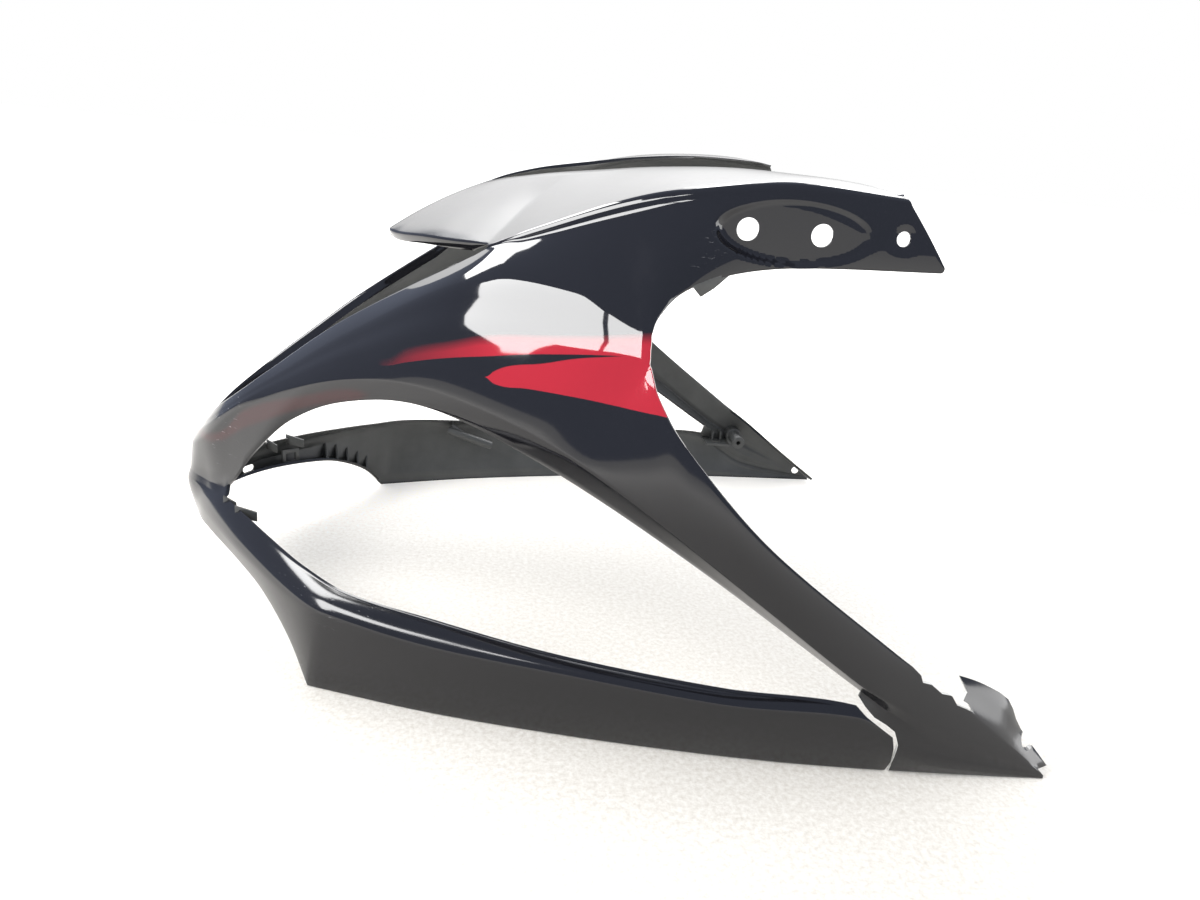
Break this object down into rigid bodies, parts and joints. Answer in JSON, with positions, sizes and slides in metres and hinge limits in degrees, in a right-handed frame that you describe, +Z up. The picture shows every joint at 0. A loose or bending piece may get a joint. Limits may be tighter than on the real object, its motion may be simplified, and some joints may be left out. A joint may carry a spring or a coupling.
{
  "type": "motorcycle upper fairing",
  "caption": "Upper nose fairing of a sports motorcycle, one moulded shell with beak, open intake, headlight openings, mirror arms with oval seats, struts and lower arms.",
  "frame": {"origin": "on the ground, under the middle of the part's bounding box", "axes": "+X towards the rear of the motorcycle, +Y towards its right side, +Z up"},
  "size_m": [0.672, 0.568, 0.3869],
  "materials": {
    "shell": "gloss black paint on the outside, bare dark grey plastic inside"
  },
  "bodies": {
    "root": {"upper_fairing": "shell"}
  },
  "joints": []
}
